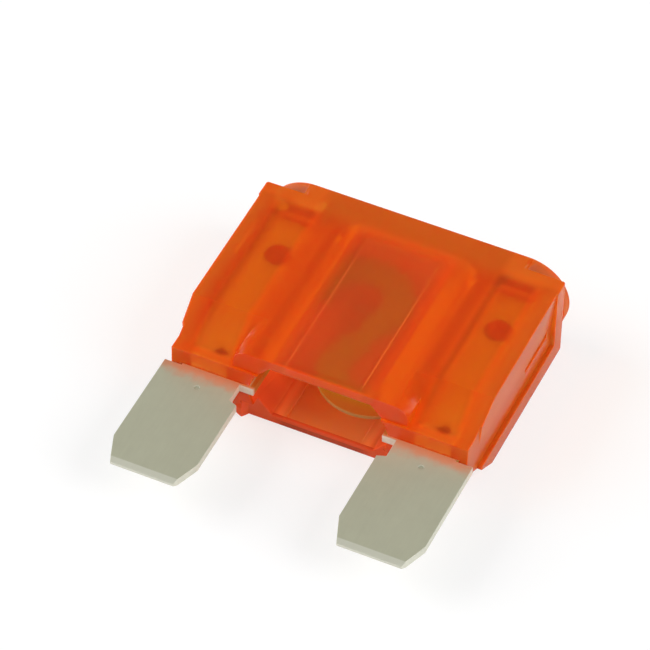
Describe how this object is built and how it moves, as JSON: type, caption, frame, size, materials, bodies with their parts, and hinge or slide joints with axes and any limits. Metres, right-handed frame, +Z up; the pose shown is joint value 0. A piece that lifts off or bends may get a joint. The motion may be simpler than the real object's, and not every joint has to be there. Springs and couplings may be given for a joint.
{
  "type": "automotive blade fuse",
  "caption": "Large plug-in blade fuse: translucent moulded housing, open at its lower end, over a stamped metal element with flat blades and an S-shaped link that melts on overload.",
  "frame": {"origin": "under the middle of the fuse's bounding box, on the surface that its back face lies on", "axes": "+X across the blades to the right-hand blade, +Y from the blade tips to the closed top, +Z up through the front face"},
  "size_m": [0.0292, 0.0344, 0.0083],
  "materials": {
    "housing_plastic": "translucent orange moulded plastic, smooth and slightly waxy",
    "element_metal": "dull tin-coated stamping with bright cut edges"
  },
  "bodies": {
    "root": {"housing": "housing_plastic", "element": "element_metal"}
  },
  "joints": []
}
